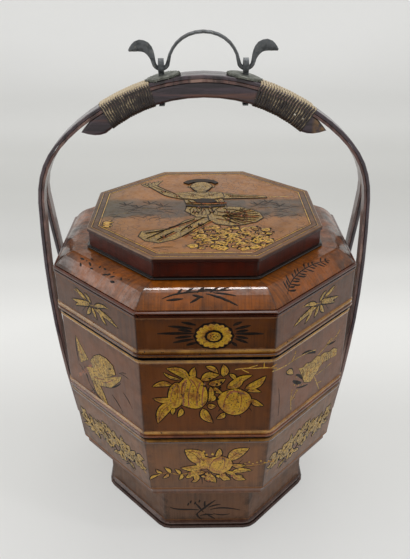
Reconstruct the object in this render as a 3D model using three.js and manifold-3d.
// Lacquered wedding basket. An octagonal foot carries a tapered bottom tier, a middle tier lifts off
// it, and a shouldered tray with a small raised lid closes the stack. A bow of two bent layers
// straddles the tiers, is slit into four legs that are pegged to the bottom tier, and holds a grip
// block, rattan bindings and a forged bail in two eyes.
// Millimetres, +Z up, origin on the floor under the middle of the foot, front face towards -Y.
import * as THREE from 'three';
import { mergeVertices } from 'three/addons/utils/BufferGeometryUtils.js';
import Module from 'manifold-3d';

const wasm = await Module();
wasm.setup();

// Clearances
const GLUE_GAP = 0.3; // between pieces that are glued, pegged or bound together
const SLIDE_GAP = 0.6; // between a lip and the ring that lifts off it

// Foot
const FOOT_ACROSS = 235; // across the flats of the foot wall
const FOOT_BOARD = 7;
const FOOT_WALL_HEIGHT = 70;
const FOOT_MOULDING_HEIGHT = 11;
const FOOT_MOULDING_PROUD = 5.2;
const FOOT_MOULDING_INSET = 2;
const FOOT_CORNER = 20;

// Boards, floors and lips that all three tiers share
const TIER_ACROSS = 301; // across the flats at the top of the bottom tier's wall
const BOARD = 7; // thickness of the tier walls
const FLOOR_BOARD = 6;
const FLOOR_REBATE = 2; // how far a floor is let into the wall round it
const LIP_BOARD = 4;
const LIP_HEIGHT = 6; // how far a lip stands above the tier that it belongs to
const LIP_DEPTH = 14; // how far a lip reaches down inside its wall
const WALL_CORNER = 3; // eased corner of a wall

// Rims
const LOWER_RIM_HEIGHT = 8;
const LOWER_RIM_PROUD = 2.2;
const RIM_BEAD_HEIGHT = 5;
const RIM_NECK_HEIGHT = 3; // shadow groove between a tier and the one above
const RIM_PROUD = 1.8;
const RIM_NECK_INSET = 1.2;
const RIM_CORNER = 12;

// Bottom tier
const BOTTOM_TAPER = 6; // how far each wall leans in from its top to its foot
const BOTTOM_WALL_HEIGHT = 71;
const BASE_MOULDING_HEIGHT = 13;
const BASE_MOULDING_DRAFT = 3.5; // how far its cove draws in towards the foot
const BASE_MOULDING_SEAT = 1.5; // ledge inside the wall
const BASE_CORNER = 6;

// Middle tier
const MIDDLE_PROUD = 0.5; // how far its wall stands out over the one below
const MIDDLE_WALL_HEIGHT = 84;

// Tray with its shoulder
const TRAY_PROUD = 2;
const TRAY_BAND_HEIGHT = 34.5;
const TRAY_MOULDING_HEIGHT = 6;
const TRAY_MOULDING_PROUD = 1;
const SHOULDER_INSET = 2; // the shoulder starts this far inside the band's face
const SHOULDER_RISE = 13.5;
const SHOULDER_SLOPE = 15.5; // from the lower edge in to the crease where the level part starts
const SHOULDER_BOARD = 8;
const SHOULDER_LEDGE = 5.5; // width of its lower edge where it sits on the moulding
const NECK_BOARD = 4;
const NECK_HEIGHT = 9;
const NECK_DEPTH = 12;

// Lid
const COLLAR_ACROSS = 233.5;
const COLLAR_BOARD = 6.5;
const COLLAR_HEIGHT = 14.5;
const LID_RIM_HEIGHT = 3;
const LID_RIM_PROUD = 3;
const LID_CORNER = 6;
const PLATE_THICKNESS = 4.5;
const PLATE_OVERHANG = 1.4;
const PLATE_EDGE = 0.8; // rounding of the plate's edge

// Bow
const INNER_LAYER = 3;
const OUTER_LAYER = 3.2;
const BOW_SIDE_ROOM = 10.9; // from the tray's lower rim to the bow where its legs spring
const SPRING_ABOVE_LID = 14; // the legs spring this far above the lid's top face
const ARCH_RISE = 119; // from the spring to the bow's inner face at the crown
const ARCH_FLATTENING = 5.5; // how far the haunches lie inside an ellipse
const STRIP_WIDTH = 11.8; // one half of the slit strip
const STRIP_OVERLAP = 0.6; // where the halves are one piece
const STRIP_CHAMFER = 0.8;
const FORK_ABOVE_SPRING = 18;
const FORK_LENGTH = 189; // height in which the legs part
const LEG_SPREAD = 76.5; // between the middles of a front and a back leg
const LEG_FOOT_ABOVE_BASE = 23; // above the foot of the bottom tier's wall

// Pegs of the legs
const PEG_RADIUS = 1.7;
const PEG_PROUD = 0.9;
const PEG_BITE = 4.5; // into the wall
const PEG_HEIGHTS = [11, 33]; // above a leg's lower end

// Grip block
const GRIP_WIDTH = 22;
const GRIP_THICKNESS = 15; // at the crown
const GRIP_HALF_SPREAD = 141.5; // half axis of the ellipse along its lower edge
const GRIP_CENTRE_DROP = 21; // from the spring down to that ellipse's middle
const GRIP_JOIN_X = 112; // where its ends leave the bow
const GRIP_TIP_OUT = 9.5; // from the join to the pointed tip
const GRIP_TIP_DROP = 11;
const GRIP_HEEL_IN = 5; // from the join to the bend of the end's underside
const GRIP_HEEL_DROP = 16.5;
const GRIP_LOWER_END_X = 97;
const GRIP_EDGE = 2.5;

// Rattan bindings
const CANE_WIDTH = 2.25;
const CANE_THICKNESS = 1.5;
const BINDING_TURNS = 18;
const BINDING_PITCH = 3.1;
const BINDING_START_X = 57;
const BINDING_CORNER = 2.4;
const BINDING_AIR = 0.6; // between the cane and what it binds
const CANE_SIDES = 6;
const TURN_PLACES = 18;

// Plates, eyes and bail
const EYE_X = 40.5;
const PLATE_MIDDLE_X = 37.7;
const PLATE_HALF_LENGTH = 16;
const PLATE_HALF_WIDTH = 13.6;
const IRON_PLATE = 2.5;
const EYE_STRIP_WIDTH = 5.2;
const EYE_STRIP = 2.3;
const EYE_HOLE_RADIUS = 3.4;
const EYE_HOLE_STRETCH = 2.9; // the hole is taller than it is wide by this
const EYE_STAND = 1; // ring above the plate
const SHANK_WIDTH = 4.4;
const TAIL_REACH = 9.5;
const TAIL_THICKNESS = 2;
const ROD_DIAMETER = 4;
const ROD_PLAY = 0.4;
const BAIL_TURN_RADIUS = 7.2;
const BAIL_RISE = 33; // from its pivot to the middle of the arch's crown
const BAIL_STRAP = 3;
const BAIL_STRAP_WIDTH = 9;

const EIGHTH = Math.PI / 4;
const CORNER_COS = Math.cos(EIGHTH / 2);
const LEAST_CORNER = 0.8;

// Levels of the stack, from the floor up
const FOOT_TOP = FOOT_MOULDING_HEIGHT + FOOT_WALL_HEIGHT;
const BOTTOM_WALL_FOOT = FOOT_TOP + BASE_MOULDING_HEIGHT;
const BOTTOM_WALL_TOP = BOTTOM_WALL_FOOT + BOTTOM_WALL_HEIGHT;
const RIM_HEIGHT = RIM_BEAD_HEIGHT + RIM_NECK_HEIGHT;
const MIDDLE_BASE = BOTTOM_WALL_TOP + RIM_HEIGHT;
const MIDDLE_WALL_FOOT = MIDDLE_BASE + LOWER_RIM_HEIGHT;
const MIDDLE_WALL_TOP = MIDDLE_WALL_FOOT + MIDDLE_WALL_HEIGHT;
const TRAY_BASE = MIDDLE_WALL_TOP + RIM_HEIGHT;
const TRAY_BAND_FOOT = TRAY_BASE + LOWER_RIM_HEIGHT;
const TRAY_BAND_TOP = TRAY_BAND_FOOT + TRAY_BAND_HEIGHT;
const SHOULDER_BASE = TRAY_BAND_TOP + TRAY_MOULDING_HEIGHT;
const LID_SEAT = SHOULDER_BASE + SHOULDER_RISE;
const COLLAR_FOOT = LID_SEAT + LID_RIM_HEIGHT;
const PLATE_BASE = COLLAR_FOOT + COLLAR_HEIGHT;
const LID_TOP = PLATE_BASE + PLATE_THICKNESS;

// Apothems, each half of a size across flats
const FOOT_OUTER = FOOT_ACROSS / 2;
const FOOT_INNER = FOOT_OUTER - FOOT_BOARD;
const BOTTOM_OUTER = TIER_ACROSS / 2; // at the top of its wall
const MIDDLE_OUTER = BOTTOM_OUTER + MIDDLE_PROUD;
const MIDDLE_INNER = MIDDLE_OUTER - BOARD;
const TRAY_OUTER = BOTTOM_OUTER + TRAY_PROUD;
const TRAY_INNER = TRAY_OUTER - BOARD;
const COLLAR_OUTER = COLLAR_ACROSS / 2;
const COLLAR_INNER = COLLAR_OUTER - COLLAR_BOARD;
const NECK_OUTER = COLLAR_INNER - SLIDE_GAP;
const BOTTOM_LIP_OUTER = BOTTOM_OUTER - BOARD - GLUE_GAP;
const MIDDLE_LIP_OUTER = MIDDLE_INNER - GLUE_GAP;

// Bow measures, all on its inner face
const BOW_THICKNESS = INNER_LAYER + GLUE_GAP + OUTER_LAYER;
const SPRING_Z = LID_TOP + SPRING_ABOVE_LID;
const SPRING_X = TRAY_OUTER + LOWER_RIM_PROUD + BOW_SIDE_ROOM;
const LEG_FOOT_Z = BOTTOM_WALL_FOOT + LEG_FOOT_ABOVE_BASE;
const FORK_Z = SPRING_Z + FORK_ABOVE_SPRING;
const STRIP_MIDDLE = (STRIP_WIDTH - STRIP_OVERLAP) / 2;
const LEG_MIDDLE = LEG_SPREAD / 2;
const GRIP_CENTRE_Z = SPRING_Z - GRIP_CENTRE_DROP;
const GRIP_LOWER_RISE = ARCH_RISE + GRIP_CENTRE_DROP - GLUE_GAP - GRIP_THICKNESS;

function lacquer(color, roughness = 0.35) {
  return new THREE.MeshStandardMaterial({ color, roughness, metalness: 0 });
}

function iron(color, roughness = 0.6) {
  return new THREE.MeshStandardMaterial({ color, roughness, metalness: 0.85 });
}

const FINISH = {
  wall: lacquer(0x5f3a20),
  band: lacquer(0x4f2e18),
  shoulder: lacquer(0x8f5228, 0.2),
  top: lacquer(0xa0693f, 0.4),
  rim: lacquer(0x8f6a30, 0.4),
  dark: lacquer(0x3a1d10, 0.4),
  foot: lacquer(0x5a3624, 0.4),
  footMoulding: lacquer(0x40302c, 0.45),
  inside: lacquer(0x2a120a, 0.5),
  bow: lacquer(0x3c2c32, 0.4),
  grip: lacquer(0x3a262a, 0.45),
  rattan: lacquer(0x8d7650, 0.7),
  iron: iron(0x45484c),
  plate: iron(0x64665e, 0.7),
  peg: lacquer(0x6a5038, 0.6),
};

const basket = new THREE.Group();

function piece(name, geometry, material) {
  const mesh = new THREE.Mesh(geometry, material);
  mesh.name = name;
  basket.add(mesh);
  return mesh;
}

// A closed body from corner points and faces, turned so that its faces point outwards
function closedBody(points, faces) {
  let volume = 0;
  for (const [a, b, c] of faces) {
    volume += points[a].dot(new THREE.Vector3().crossVectors(points[b], points[c]));
  }
  const wound = volume > 0 ? faces : faces.map(([a, b, c]) => [a, c, b]);
  const geometry = new THREE.BufferGeometry().setFromPoints(points);
  geometry.setIndex(wound.flat());
  return geometry;
}

// A skin over rings of equal count. A closed loft comes back to its first ring, and an open one
// is capped at both ends.
function loft(rings, closed = false) {
  const count = rings[0].length;
  const points = rings.flat();
  const faces = [];
  const spans = closed ? rings.length : rings.length - 1;
  for (let i = 0; i < spans; i += 1) {
    const here = i * count;
    const there = ((i + 1) % rings.length) * count;
    for (let j = 0; j < count; j += 1) {
      const k = (j + 1) % count;
      faces.push([here + j, here + k, there + k], [here + j, there + k, there + j]);
    }
  }
  if (!closed) {
    const last = (rings.length - 1) * count;
    for (let j = 1; j < count - 1; j += 1) {
      faces.push([0, j + 1, j], [last, last + j, last + j + 1]);
    }
  }
  return closedBody(points, faces);
}

// One level of an octagon with rounded corners, its faces square to X and Y
function octagonAt(apothem, height, corner, steps) {
  const ring = [];
  const reach = (apothem - corner) / CORNER_COS;
  for (let side = 0; side < 8; side += 1) {
    const bisector = (side + 0.5) * EIGHTH;
    for (let step = 0; step <= steps; step += 1) {
      const angle = (side + step / steps) * EIGHTH;
      ring.push(new THREE.Vector3(
        reach * Math.cos(bisector) + corner * Math.cos(angle),
        reach * Math.sin(bisector) + corner * Math.sin(angle),
        height,
      ));
    }
  }
  return ring;
}

// An octagonal body from a section of [apothem, height] pairs. The corner radius is that of the
// widest pair, and shrinks with the apothem, as a moulding's mitre does.
function octagon(section, corner, steps, closed = true) {
  const widest = Math.max(...section.map(([apothem]) => apothem));
  return loft(section.map(([apothem, height]) => {
    const radius = Math.max(corner - (widest - apothem), LEAST_CORNER);
    return octagonAt(apothem, height, radius, steps);
  }), closed);
}

// Half-round bead as section pairs, from its lower to its upper edge
function bead(face, proud, low, high, steps) {
  const middle = (low + high) / 2;
  const pairs = [];
  for (let i = 0; i <= steps; i += 1) {
    const angle = (i / steps - 0.5) * Math.PI;
    pairs.push([face + proud * Math.cos(angle), middle + (high - low) / 2 * Math.sin(angle)]);
  }
  return pairs;
}

function toSolid(geometry) {
  const bare = geometry.clone();
  bare.deleteAttribute('normal');
  bare.deleteAttribute('uv');
  const merged = mergeVertices(bare, 1e-4);
  return new wasm.Manifold(new wasm.Mesh({
    numProp: 3,
    vertProperties: new Float32Array(merged.attributes.position.array),
    triVerts: new Uint32Array(merged.index.array),
  }));
}

function toGeometry(solid) {
  const mesh = solid.getMesh();
  const geometry = new THREE.BufferGeometry();
  geometry.setAttribute('position', new THREE.BufferAttribute(mesh.vertProperties, 3));
  geometry.setIndex(new THREE.BufferAttribute(mesh.triVerts, 1));
  return geometry;
}

function cut(geometry, ...tools) {
  const solid = tools.reduce((body, tool) => body.subtract(toSolid(tool)), toSolid(geometry));
  return toGeometry(solid);
}

// Foot: a mitred wall of boards on a rounded double moulding
function buildFoot() {
  const outer = FOOT_OUTER + FOOT_MOULDING_PROUD;
  const inner = FOOT_INNER - FOOT_MOULDING_INSET;
  const waist = FOOT_MOULDING_HEIGHT * 0.55;
  const beadFace = outer - FOOT_MOULDING_PROUD;
  piece('foot_moulding', octagon([
    [inner, 0],
    [beadFace, 0],
    ...bead(beadFace, FOOT_MOULDING_PROUD, 0.6, waist, 4).slice(1),
    ...bead(beadFace, FOOT_MOULDING_PROUD * 0.6, waist, FOOT_MOULDING_HEIGHT, 3).slice(1),
    [inner, FOOT_MOULDING_HEIGHT],
  ], FOOT_CORNER, 2), FINISH.footMoulding);
  piece('foot_wall', octagon([
    [FOOT_INNER, FOOT_MOULDING_HEIGHT],
    [FOOT_OUTER, FOOT_MOULDING_HEIGHT],
    [FOOT_OUTER, FOOT_TOP],
    [FOOT_INNER, FOOT_TOP],
  ], WALL_CORNER, 2), FINISH.foot);
}

// Rim on top of a tier's wall: a gilt bead with a dark neck above it
function upperRim(name, wallOuter, inner, base) {
  const beadTop = base + RIM_BEAD_HEIGHT;
  const neck = wallOuter - RIM_NECK_INSET;
  piece(name, octagon([
    [inner, base],
    ...bead(wallOuter, RIM_PROUD, base, beadTop, 4),
    [neck, beadTop],
    [neck, beadTop + RIM_NECK_HEIGHT],
    [inner, beadTop + RIM_NECK_HEIGHT],
  ], RIM_CORNER, 2), FINISH.rim);
}

// Rim under a tier's wall: two beads with a quirk between them
function lowerRim(name, wallOuter, inner, base) {
  const quirk = base + LOWER_RIM_HEIGHT * 0.5;
  piece(name, octagon([
    [inner, base],
    ...bead(wallOuter, LOWER_RIM_PROUD, base, quirk, 3),
    ...bead(wallOuter, LOWER_RIM_PROUD * 0.8, quirk, base + LOWER_RIM_HEIGHT, 3).slice(1),
    [inner, base + LOWER_RIM_HEIGHT],
  ], RIM_CORNER, 2), FINISH.rim);
}

// Locating lip inside the top of a wall
function lip(name, lowOuter, topOuter, wallTop) {
  const top = wallTop + RIM_HEIGHT + LIP_HEIGHT;
  const ease = LIP_BOARD / 4;
  piece(name, octagon([
    [lowOuter - LIP_BOARD, wallTop - LIP_DEPTH],
    [lowOuter, wallTop - LIP_DEPTH],
    [topOuter, wallTop],
    [topOuter, top - ease],
    [topOuter - ease, top],
    [topOuter - LIP_BOARD, top],
    [topOuter - LIP_BOARD, wallTop],
  ], WALL_CORNER, 1), FINISH.inside);
}

// Straight wall with a rebate round its foot, and the floor board let into it
function wallAndFloor(wallName, floorName, outer, inner, foot, top, material) {
  const groove = foot + FLOOR_BOARD + GLUE_GAP;
  const grooveDepth = inner + FLOOR_REBATE + GLUE_GAP;
  piece(wallName, octagon([
    [grooveDepth, foot],
    [outer, foot],
    [outer, top],
    [inner, top],
    [inner, groove],
    [grooveDepth, groove],
  ], WALL_CORNER, 2), material);
  const floorEdge = inner + FLOOR_REBATE;
  piece(floorName, octagon([
    [floorEdge, foot],
    [floorEdge, foot + FLOOR_BOARD],
  ], WALL_CORNER, 1, false), FINISH.inside);
}

// Outer apothem of the bottom tier's tapered wall at a height
function bottomWallAt(height) {
  return BOTTOM_OUTER - BOTTOM_TAPER * (BOTTOM_WALL_TOP - height) / BOTTOM_WALL_HEIGHT;
}

function buildBottomTier(pegHoles) {
  const foot = bottomWallAt(BOTTOM_WALL_FOOT);
  const top = bottomWallAt(BOTTOM_WALL_TOP);
  const mouldingInner = foot - BOARD - BASE_MOULDING_SEAT;
  const lowEdge = foot - BASE_MOULDING_DRAFT;
  piece('bottom_base_moulding', octagon([
    [mouldingInner, FOOT_TOP],
    [lowEdge - 1, FOOT_TOP],
    [lowEdge, FOOT_TOP + 1.2],
    [lowEdge, FOOT_TOP + BASE_MOULDING_HEIGHT * 0.35],
    [lowEdge + BASE_MOULDING_DRAFT * 0.35, FOOT_TOP + BASE_MOULDING_HEIGHT * 0.7],
    [foot + 0.4, BOTTOM_WALL_FOOT - 1],
    [foot, BOTTOM_WALL_FOOT],
    [mouldingInner, BOTTOM_WALL_FOOT],
  ], BASE_CORNER, 2), FINISH.wall);
  piece('bottom_floor', octagon([
    [mouldingInner - GLUE_GAP, FOOT_TOP],
    [mouldingInner - GLUE_GAP, FOOT_TOP + FLOOR_BOARD],
  ], WALL_CORNER, 1, false), FINISH.inside);
  piece('bottom_wall', cut(octagon([
    [foot - BOARD, BOTTOM_WALL_FOOT],
    [foot, BOTTOM_WALL_FOOT],
    [top, BOTTOM_WALL_TOP],
    [top - BOARD, BOTTOM_WALL_TOP],
  ], WALL_CORNER, 2), ...pegHoles), FINISH.wall);
  upperRim('bottom_rim', top, top - BOARD, BOTTOM_WALL_TOP);
  const lipFoot = bottomWallAt(BOTTOM_WALL_TOP - LIP_DEPTH) - BOARD - GLUE_GAP;
  lip('bottom_lip', lipFoot, BOTTOM_LIP_OUTER, BOTTOM_WALL_TOP);
}

function buildMiddleTier() {
  lowerRim('middle_lower_rim', MIDDLE_OUTER, BOTTOM_LIP_OUTER + SLIDE_GAP, MIDDLE_BASE);
  wallAndFloor('middle_wall', 'middle_floor', MIDDLE_OUTER, MIDDLE_INNER,
    MIDDLE_WALL_FOOT, MIDDLE_WALL_TOP, FINISH.wall);
  upperRim('middle_rim', MIDDLE_OUTER, MIDDLE_INNER, MIDDLE_WALL_TOP);
  lip('middle_lip', MIDDLE_LIP_OUTER, MIDDLE_LIP_OUTER, MIDDLE_WALL_TOP);
}

// Shoulder: a slightly convex slope from the lower edge up to a crease, then level to the opening
function shoulderSection() {
  const edge = TRAY_OUTER - SHOULDER_INSET;
  const crease = edge - SHOULDER_SLOPE;
  const opening = NECK_OUTER + GLUE_GAP;
  const underside = LID_SEAT - SHOULDER_BOARD;
  const section = [
    [edge - SHOULDER_LEDGE, SHOULDER_BASE],
    [edge - 0.6, SHOULDER_BASE],
  ];
  const curve = new THREE.CubicBezierCurve(
    new THREE.Vector2(edge, SHOULDER_BASE + 0.8),
    new THREE.Vector2(edge - SHOULDER_SLOPE * 0.25, SHOULDER_BASE + SHOULDER_RISE * 0.45),
    new THREE.Vector2(crease + SHOULDER_SLOPE * 0.16, LID_SEAT - SHOULDER_RISE * 0.04),
    new THREE.Vector2(crease - SHOULDER_SLOPE * 0.16, LID_SEAT),
  );
  curve.getPoints(7).forEach((point) => section.push([point.x, point.y]));
  section.push([opening, LID_SEAT], [opening, underside]);
  section.push([COLLAR_OUTER, underside], [crease - SHOULDER_LEDGE, underside - 2.5]);
  return section;
}

function buildTray() {
  lowerRim('tray_lower_rim', TRAY_OUTER, MIDDLE_LIP_OUTER + SLIDE_GAP, TRAY_BASE);
  wallAndFloor('tray_band', 'tray_floor', TRAY_OUTER, TRAY_INNER,
    TRAY_BAND_FOOT, TRAY_BAND_TOP, FINISH.band);
  const mouldingFace = TRAY_OUTER - TRAY_MOULDING_PROUD;
  const quirk = TRAY_BAND_TOP + TRAY_MOULDING_HEIGHT / 2;
  piece('tray_moulding', octagon([
    [TRAY_INNER, TRAY_BAND_TOP],
    ...bead(mouldingFace, TRAY_MOULDING_PROUD * 2, TRAY_BAND_TOP, quirk, 3),
    ...bead(mouldingFace, TRAY_MOULDING_PROUD * 2, quirk, SHOULDER_BASE, 3).slice(1),
    [TRAY_INNER, SHOULDER_BASE],
  ], WALL_CORNER, 2), FINISH.dark);
  piece('tray_shoulder', octagon(shoulderSection(), WALL_CORNER * 2, 2), FINISH.shoulder);
  piece('tray_neck', octagon([
    [NECK_OUTER - NECK_BOARD, LID_SEAT - NECK_DEPTH],
    [NECK_OUTER, LID_SEAT - NECK_DEPTH],
    [NECK_OUTER, LID_SEAT + NECK_HEIGHT - 1],
    [NECK_OUTER - 1, LID_SEAT + NECK_HEIGHT],
    [NECK_OUTER - NECK_BOARD, LID_SEAT + NECK_HEIGHT],
  ], WALL_CORNER, 1), FINISH.inside);
}

function buildLid() {
  const beadFace = COLLAR_OUTER + LID_RIM_PROUD / 2;
  piece('lid_rim', octagon([
    [COLLAR_INNER, LID_SEAT],
    [beadFace, LID_SEAT],
    ...bead(beadFace, LID_RIM_PROUD / 2, LID_SEAT + 0.2, COLLAR_FOOT - 0.2, 4).slice(1),
    [COLLAR_OUTER + 0.4, COLLAR_FOOT],
    [COLLAR_INNER, COLLAR_FOOT],
  ], LID_CORNER, 2), FINISH.dark);
  piece('lid_collar', octagon([
    [COLLAR_INNER, COLLAR_FOOT],
    [COLLAR_OUTER, COLLAR_FOOT],
    [COLLAR_OUTER, PLATE_BASE],
    [COLLAR_INNER, PLATE_BASE],
  ], WALL_CORNER, 2), FINISH.wall);
  const edge = COLLAR_OUTER + PLATE_OVERHANG;
  piece('lid_plate', octagon([
    [edge - PLATE_EDGE, PLATE_BASE],
    [edge, PLATE_BASE + PLATE_EDGE],
    [edge, LID_TOP - PLATE_EDGE],
    [edge - PLATE_EDGE, LID_TOP],
  ], WALL_CORNER, 2, false), FINISH.top);
}

// Inner face of a leg at a height. It lies along the tapered wall, clears the rims, and sweeps
// out to the spring of the arch.
function legInnerX(height) {
  const atFoot = bottomWallAt(LEG_FOOT_Z) + GLUE_GAP;
  const widestRim = Math.max(
    BOTTOM_OUTER + RIM_PROUD,
    MIDDLE_OUTER + LOWER_RIM_PROUD,
  );
  const atRim = widestRim + SLIDE_GAP;
  const slope = (atRim - atFoot) / (MIDDLE_BASE - LEG_FOOT_Z);
  if (height <= MIDDLE_BASE) {
    return atRim - slope * (MIDDLE_BASE - height);
  }
  const rise = (height - MIDDLE_BASE) / (SPRING_Z - MIDDLE_BASE);
  return atRim + (SPRING_X - atRim) * Math.sin(rise * Math.PI / 2);
}

// How far the middle of a half strip lies from the bow's own middle at a height
function stripMiddleY(height) {
  const parted = THREE.MathUtils.clamp((FORK_Z - height) / FORK_LENGTH, 0, 1);
  return STRIP_MIDDLE + (LEG_MIDDLE - STRIP_MIDDLE) * Math.sin(parted * Math.PI / 2);
}

// Point on the bow's inner face: a share of -1 to 1 runs over the arch from spring to spring
function archPoint(share) {
  const angle = share * Math.PI / 2;
  const flattening = ARCH_FLATTENING * Math.sin(2 * angle) ** 2;
  return new THREE.Vector3(
    SPRING_X * Math.sin(angle), 0, SPRING_Z + ARCH_RISE * Math.cos(angle) - flattening,
  );
}

// Share of the arch at which its inner face has reached a distance from the middle
function shareAt(x) {
  return Math.asin(x / SPRING_X) / (Math.PI / 2);
}

// Place at a share of the arch: its point on the inner face and the direction square to that face
function bowPlace(share) {
  const step = 0.0005;
  const point = archPoint(share);
  const before = archPoint(share - step);
  const after = archPoint(share + step);
  const out = new THREE.Vector3(-(after.z - before.z), 0, after.x - before.x).normalize();
  return { point, out };
}

// Point at a distance outside the inner face
function bowFacePoint(share, offset) {
  const { point, out } = bowPlace(share);
  return point.addScaledVector(out, offset);
}

// Whole centre line of one half strip, from the left leg's foot to the right leg's
const ARCH_STEPS = 30;
const LEG_STEPS = 6;
const FOOT_STEPS = 2;
function bowLine(side) {
  const heights = [];
  for (let i = 1; i <= LEG_STEPS; i += 1) {
    heights.push(THREE.MathUtils.lerp(SPRING_Z, MIDDLE_BASE, i / LEG_STEPS));
  }
  for (let i = 1; i <= FOOT_STEPS; i += 1) {
    heights.push(THREE.MathUtils.lerp(MIDDLE_BASE, LEG_FOOT_Z, i / FOOT_STEPS));
  }
  const rightLeg = heights.map((height) => new THREE.Vector3(legInnerX(height), 0, height));
  const leftLeg = rightLeg.map((point) => new THREE.Vector3(-point.x, 0, point.z)).reverse();
  const arch = [];
  for (let i = 0; i <= ARCH_STEPS; i += 1) {
    arch.push(archPoint(i / ARCH_STEPS * 2 - 1));
  }
  const line = [...leftLeg, ...arch, ...rightLeg];
  line.forEach((point) => {
    point.y = side * stripMiddleY(point.z);
  });
  return line;
}

// Direction away from the basket at a point of a line, square to the line
function outwardAt(line, i) {
  const before = line[Math.max(i - 1, 0)];
  const after = line[Math.min(i + 1, line.length - 1)];
  return new THREE.Vector3(-(after.z - before.z), 0, after.x - before.x).normalize();
}

// Strip with eased edges swept along a line on the bow's inner face
function strip(line, low, high, halfWidthAt) {
  const ease = Math.min(STRIP_CHAMFER, (high - low) / 3);
  return loft(line.map((point, i) => {
    const out = outwardAt(line, i);
    const half = halfWidthAt(i);
    const section = [
      [-half, low], [half, low], [half, high - ease],
      [half - ease, high], [ease - half, high], [-half, high - ease],
    ];
    return section.map(([across, rise]) => new THREE.Vector3(
      point.x + out.x * rise, point.y + across, point.z + out.z * rise,
    ));
  }));
}

function bowLayer(low, high, tools) {
  const halves = [-1, 1].map((side) => toSolid(
    strip(bowLine(side), low, high, () => STRIP_WIDTH / 2),
  ));
  const joined = halves[0].add(halves[1]);
  return toGeometry(tools.reduce((body, tool) => body.subtract(toSolid(tool)), joined));
}

// Height of the face that lies an offset outside the inner face, at a distance from the middle
function bowHeightAt(x, offset) {
  let low = 0;
  let high = 1;
  while (high - low > 1e-6) {
    const middle = (low + high) / 2;
    if (bowFacePoint(middle, offset).x < x) low = middle;
    else high = middle;
  }
  return bowFacePoint(low, offset).z;
}

function pegPlaces() {
  const places = [];
  for (const [sideName, side] of [['left', -1], ['right', 1]]) {
    for (const [endName, end] of [['front', -1], ['back', 1]]) {
      PEG_HEIGHTS.forEach((rise, i) => {
        const height = LEG_FOOT_Z + rise;
        places.push({
          name: `${sideName}_${endName}_peg_${i + 1}`,
          side,
          start: bottomWallAt(height) - PEG_BITE,
          end: legInnerX(height) + BOW_THICKNESS + PEG_PROUD,
          y: end * stripMiddleY(height),
          z: height,
        });
      });
    }
  }
  return places;
}

function rodAlongX(radius, from, to, y, z) {
  const rod = new THREE.CylinderGeometry(radius, radius, Math.abs(to - from), 6);
  rod.rotateZ(Math.PI / 2);
  rod.translate((from + to) / 2, y, z);
  return rod;
}

// Curved grip block under the crown, pointed at both ends like a boat
const GRIP_TOP_STEPS = 18;
function gripGeometry(slots) {
  const joinShare = shareAt(GRIP_JOIN_X);
  const join = bowFacePoint(joinShare, -GLUE_GAP);
  const topPoints = [];
  for (let i = 0; i <= GRIP_TOP_STEPS; i += 1) {
    const { x, z } = bowFacePoint(joinShare * (1 - 2 * i / GRIP_TOP_STEPS), -GLUE_GAP);
    topPoints.push(new THREE.Vector2(x, z));
  }
  const endAngle = Math.asin(GRIP_LOWER_END_X / GRIP_HALF_SPREAD);
  const lower = new THREE.EllipseCurve(0, GRIP_CENTRE_Z, GRIP_HALF_SPREAD, GRIP_LOWER_RISE,
    Math.PI / 2 + endAngle, Math.PI / 2 - endAngle, true);
  const lowerPoints = lower.getPoints(14);
  const tip = (side) => new THREE.Vector2(side * (join.x + GRIP_TIP_OUT), join.z - GRIP_TIP_DROP);
  const heel = (side) => new THREE.Vector2(side * (join.x - GRIP_HEEL_IN), join.z - GRIP_HEEL_DROP);
  const leftEnd = new THREE.QuadraticBezierCurve(tip(-1), heel(-1), lowerPoints[0]);
  const rightEnd = new THREE.QuadraticBezierCurve(lowerPoints.at(-1), heel(1), tip(1));
  const outline = [
    ...topPoints,
    ...leftEnd.getPoints(4).slice(0, -1),
    ...lowerPoints,
    ...rightEnd.getPoints(4).slice(1),
  ];
  const block = new THREE.ExtrudeGeometry(new THREE.Shape(outline), {
    depth: GRIP_WIDTH - 2 * GRIP_EDGE,
    bevelThickness: GRIP_EDGE,
    bevelSize: GRIP_EDGE,
    bevelOffset: -GRIP_EDGE,
    bevelSegments: 2,
  });
  block.rotateX(Math.PI / 2);
  block.translate(0, GRIP_WIDTH / 2 - GRIP_EDGE, 0);
  return cut(block, ...slots);
}

// Thickness of the grip block under a point of the bow, measured square to the bow
function gripDepthAt(point, out) {
  const a = GRIP_HALF_SPREAD;
  const b = GRIP_LOWER_RISE;
  const x = point.x;
  const z = point.z - GRIP_CENTRE_Z;
  const qa = (out.x / a) ** 2 + (out.z / b) ** 2;
  const qb = -2 * (x * out.x / (a * a) + z * out.z / (b * b));
  const qc = (x / a) ** 2 + (z / b) ** 2 - 1;
  return (-qb - Math.sqrt(qb * qb - 4 * qa * qc)) / (2 * qa);
}

// One turn round a rounded rectangle, as places that each have a point and an outward direction.
// It starts under the middle of the grip and has four places to a corner.
function turnPlaces(top, bottom, half) {
  const corners = [[half, bottom, -1], [half, top, 0], [-half, top, 1], [-half, bottom, 2]];
  const r = BINDING_CORNER;
  const places = [{ at: [0, bottom], out: [0, -1] }];
  corners.forEach(([x, y, quarter], index) => {
    const cx = x - Math.sign(x) * r;
    const cy = y + (y === top ? -r : r);
    for (let i = 0; i <= 3; i += 1) {
      const angle = (quarter + i / 3) * Math.PI / 2;
      const out = [Math.cos(angle), Math.sin(angle)];
      places.push({ at: [cx + r * out[0], cy + r * out[1]], out });
    }
    if (index === 1) places.push({ at: [0, top], out: [0, 1] });
  });
  return places;
}

// Place on the right half of the bow at a length along its inner face from the binding's start
function bowStation(length) {
  let share = shareAt(BINDING_START_X);
  const step = 0.0005;
  let travelled = 0;
  while (travelled < length) {
    travelled += archPoint(share).distanceTo(archPoint(share + step));
    share += step;
  }
  return bowPlace(share);
}

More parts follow.
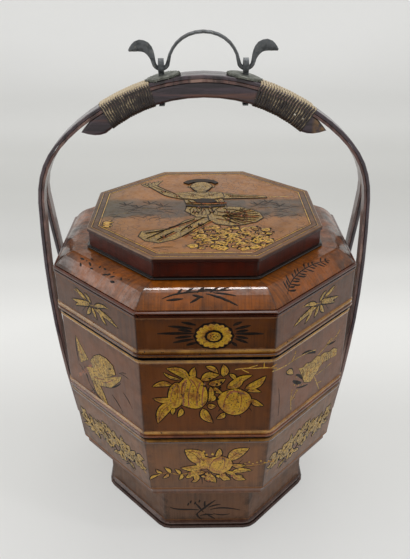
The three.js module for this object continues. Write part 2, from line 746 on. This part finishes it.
// Least distance between the skin points of a turn and those of the next one
function leastGap(rings) {
  let least = Infinity;
  rings.forEach((ring, i) => {
    for (const other of rings.slice(i + TURN_PLACES / 2, i + TURN_PLACES * 1.5)) {
      for (const point of ring) {
        least = Math.min(least, ...other.map((far) => far.distanceTo(point)));
      }
    }
  });
  return least;
}

// Rattan cane wound as one unbroken helix round the bow and the grip block
function bindingGeometry(side) {
  const lift = BINDING_AIR + CANE_THICKNESS / 2;
  const half = STRIP_WIDTH - STRIP_OVERLAP / 2 + lift;
  const centres = [];
  const outs = [];
  for (let turn = 0; turn < BINDING_TURNS; turn += 1) {
    const { point, out } = bowStation(turn * BINDING_PITCH);
    const depth = gripDepthAt(point, out);
    const places = turnPlaces(BOW_THICKNESS + lift, -depth - lift, half);
    const wrap = places.map(({ at }, i) => {
      const next = places[(i + 1) % places.length].at;
      return Math.hypot(next[0] - at[0], next[1] - at[1]);
    });
    const girth = wrap.reduce((sum, value) => sum + value, 0);
    let run = 0;
    places.forEach((place, i) => {
      const here = bowStation((turn + run / girth) * BINDING_PITCH);
      run += wrap[i];
      centres.push(new THREE.Vector3(
        here.point.x + here.out.x * place.at[1], place.at[0],
        here.point.z + here.out.z * place.at[1],
      ));
      outs.push(new THREE.Vector3(
        here.out.x * place.out[1], place.out[0], here.out.z * place.out[1],
      ));
    });
  }
  // The ends run straight on, a cane's width under the grip
  const first = centres[0].clone().sub(centres[1]).setLength(CANE_WIDTH).add(centres[0]);
  const lastWay = centres.at(-1).clone().sub(centres.at(-2)).setLength(CANE_WIDTH);
  centres.unshift(first);
  outs.unshift(outs[0].clone());
  centres.push(centres.at(-1).clone().add(lastWay));
  outs.push(outs.at(-1).clone());
  const rings = centres.map((centre, i) => {
    const way = centres[Math.min(i + 1, centres.length - 1)].clone()
      .sub(centres[Math.max(i - 1, 0)]).normalize();
    const along = new THREE.Vector3().crossVectors(way, outs[i]).normalize();
    const ring = [];
    for (let k = 0; k < CANE_SIDES; k += 1) {
      const angle = k / CANE_SIDES * Math.PI * 2;
      ring.push(centre.clone()
        .addScaledVector(along, Math.cos(angle) * CANE_WIDTH / 2)
        .addScaledVector(outs[i], Math.sin(angle) * CANE_THICKNESS / 2 / Math.sin(Math.PI / 3)));
    }
    return ring;
  });
  console.log(`binding: ${BINDING_TURNS} turns, least gap ${leastGap(rings).toFixed(2)} mm`);
  const geometry = loft(rings);
  return side > 0 ? geometry : geometry.rotateZ(Math.PI);
}

// Leaf-shaped iron plate bent to the bow's outer face
function ironPlateGeometry(side, slot) {
  const low = BOW_THICKNESS + GLUE_GAP;
  const steps = 12;
  const line = [];
  for (let i = 0; i <= steps; i += 1) {
    const x = side * PLATE_MIDDLE_X + (i / steps * 2 - 1) * PLATE_HALF_LENGTH;
    line.push(archPoint(shareAt(x)));
  }
  const leaf = (i) => {
    const along = i / steps * 2 - 1;
    return 1 + (PLATE_HALF_WIDTH - 1) * (1 - along * along) ** 0.75;
  };
  return cut(strip(line, low, low + IRON_PLATE, leaf), slot);
}

// Levels of an eye, from the plate up and from the grip down
const EYE_RING_RADIUS = EYE_HOLE_RADIUS + EYE_STRIP;
const PLATE_TOP_AT_EYE = bowHeightAt(EYE_X, BOW_THICKNESS + GLUE_GAP + IRON_PLATE);
const EYE_LOW_CENTRE = PLATE_TOP_AT_EYE + EYE_STAND + EYE_RING_RADIUS;
const EYE_HIGH_CENTRE = EYE_LOW_CENTRE + EYE_HOLE_STRETCH;
const PIVOT_Z = EYE_LOW_CENTRE - EYE_HOLE_RADIUS + ROD_PLAY + ROD_DIAMETER / 2;

function gripUndersideAt(x) {
  return GRIP_CENTRE_Z + GRIP_LOWER_RISE * Math.sqrt(1 - (x / GRIP_HALF_SPREAD) ** 2);
}

// Eye bent from one iron strip: a tall loop, a double shank through the handle, and two tails
// clenched outwards under the grip
function eyeGeometry() {
  const half = SHANK_WIDTH / 2;
  const tailTop = gripUndersideAt(EYE_X + EYE_STRIP_WIDTH / 2) - GLUE_GAP;
  const tailLow = tailTop - TAIL_THICKNESS;
  const meet = Math.asin(half / EYE_RING_RADIUS);
  const shape = new THREE.Shape();
  shape.moveTo(-TAIL_REACH, tailLow + TAIL_THICKNESS / 3);
  shape.lineTo(-half, tailLow);
  shape.lineTo(half, tailLow);
  shape.lineTo(TAIL_REACH, tailLow + TAIL_THICKNESS / 3);
  shape.lineTo(TAIL_REACH, tailTop);
  shape.lineTo(half, tailTop);
  shape.absarc(0, EYE_LOW_CENTRE, EYE_RING_RADIUS, meet - Math.PI / 2, 0, false);
  shape.absarc(0, EYE_HIGH_CENTRE, EYE_RING_RADIUS, 0, Math.PI, false);
  shape.absarc(0, EYE_LOW_CENTRE, EYE_RING_RADIUS, Math.PI, Math.PI * 1.5 - meet, false);
  shape.lineTo(-half, tailTop);
  shape.lineTo(-TAIL_REACH, tailTop);
  shape.closePath();
  const hole = new THREE.Path();
  hole.absarc(0, EYE_HIGH_CENTRE, EYE_HOLE_RADIUS, 0, Math.PI, false);
  hole.absarc(0, EYE_LOW_CENTRE, EYE_HOLE_RADIUS, Math.PI, Math.PI * 2, false);
  shape.holes.push(hole);
  const eye = new THREE.ExtrudeGeometry(shape, {
    depth: EYE_STRIP_WIDTH, bevelEnabled: false, curveSegments: 6,
  });
  const toYZ = new THREE.Matrix4().makeBasis(
    new THREE.Vector3(0, 1, 0), new THREE.Vector3(0, 0, 1), new THREE.Vector3(1, 0, 0),
  );
  eye.applyMatrix4(toYZ);
  eye.translate(-EYE_STRIP_WIDTH / 2, 0, 0);
  return eye;
}

// Slot for an eye's shank through the plate, both layers and the grip
function shankSlot(side) {
  const low = gripUndersideAt(EYE_X) - 10;
  const high = PLATE_TOP_AT_EYE + 10;
  const slot = new THREE.BoxGeometry(
    EYE_STRIP_WIDTH + 2 * GLUE_GAP, SHANK_WIDTH + 2 * GLUE_GAP, high - low,
  );
  slot.translate(side * EYE_X, 0, (low + high) / 2);
  return slot;
}

// Forged bail: a flat strap arch, a round turn through each eye, and a curled leaf outside it.
// Each row is the place from the pivot of the right half, and the section's height and width.
function bailGeometry() {
  const turn = (degrees) => {
    const angle = degrees * Math.PI / 180;
    return [
      EYE_X + BAIL_TURN_RADIUS * Math.sin(angle),
      BAIL_TURN_RADIUS * (1 - Math.cos(angle)),
      ROD_DIAMETER, ROD_DIAMETER,
    ];
  };
  const right = [
    [0, BAIL_RISE, BAIL_STRAP, BAIL_STRAP_WIDTH],
    [14, BAIL_RISE - 2.6, BAIL_STRAP, BAIL_STRAP_WIDTH * 0.94],
    [25, BAIL_RISE - 9.8, BAIL_STRAP, BAIL_STRAP_WIDTH * 0.8],
    [31.8, BAIL_RISE - 20.2, BAIL_STRAP, BAIL_STRAP_WIDTH * 0.6],
    turn(-60),
    turn(-30),
    turn(0),
    turn(30),
    turn(60),
    [EYE_X + 7.6, 9, 4.6, 3.4],
    [EYE_X + 9.8, 14.6, 7.2, 2.8],
    [EYE_X + 13.8, 19.4, 10, 2.4],
    [EYE_X + 19.6, 20.9, 10.6, 2.2],
    [EYE_X + 25.4, 19, 7.4, 2.2],
    [EYE_X + 30, 16.4, 1.8, 1.8],
  ];
  const left = right.slice(1).reverse().map(([x, z, tall, wide]) => [-x, z, tall, wide]);
  const rows = [...left, ...right];
  const way = new THREE.CatmullRomCurve3(rows.map(([x, z]) => new THREE.Vector3(x, 0, z)));
  const sizes = new THREE.CatmullRomCurve3(
    rows.map(([, , tall, wide]) => new THREE.Vector3(tall, wide, 0)),
  );
  const steps = (rows.length - 1) * 2;
  const rings = [];
  for (let i = 0; i <= steps; i += 1) {
    const t = i / steps;
    const centre = way.getPoint(t);
    const tangent = way.getTangent(t);
    const across = new THREE.Vector3(-tangent.z, 0, tangent.x);
    const size = sizes.getPoint(t);
    const ring = [];
    for (let k = 0; k < 8; k += 1) {
      const angle = (k + 0.5) * EIGHTH;
      const tall = Math.cos(angle) / CORNER_COS * size.x / 2;
      const wide = Math.sin(angle) / CORNER_COS * size.y / 2;
      ring.push(centre.clone().addScaledVector(across, tall).setY(wide));
    }
    rings.push(ring);
  }
  return loft(rings);
}

function buildHandle(places) {
  const slots = [shankSlot(-1), shankSlot(1)];
  const pegTools = places.map((place) => rodAlongX(PEG_RADIUS + GLUE_GAP,
    place.side * (place.start - GLUE_GAP), place.side * (place.end + 5), place.y, place.z));
  piece('bow_inner_layer', bowLayer(0, INNER_LAYER, [...slots, ...pegTools]), FINISH.bow);
  piece('bow_outer_layer', bowLayer(INNER_LAYER + GLUE_GAP, BOW_THICKNESS,
    [...slots, ...pegTools]), FINISH.bow);
  piece('grip_block', gripGeometry(slots), FINISH.grip);
  for (const [name, side] of [['left', -1], ['right', 1]]) {
    piece(`${name}_binding`, bindingGeometry(side), FINISH.rattan);
    piece(`${name}_plate`, ironPlateGeometry(side, slots[side < 0 ? 0 : 1]), FINISH.plate);
    const eye = piece(`${name}_eye`, eyeGeometry(), FINISH.iron);
    eye.position.x = side * EYE_X;
  }
  const bail = piece('bail', bailGeometry(), FINISH.iron);
  bail.position.z = PIVOT_Z;
  for (const place of places) {
    piece(place.name, rodAlongX(PEG_RADIUS, place.side * place.start, place.side * place.end,
      place.y, place.z), FINISH.peg);
  }
  return pegTools;
}

buildFoot();
const pegHoles = buildHandle(pegPlaces());
buildBottomTier(pegHoles);
buildMiddleTier();
buildTray();
buildLid();

console.log(`bail pivot at z ${PIVOT_Z.toFixed(2)}, lid top at ${LID_TOP.toFixed(2)}`);

export default basket;
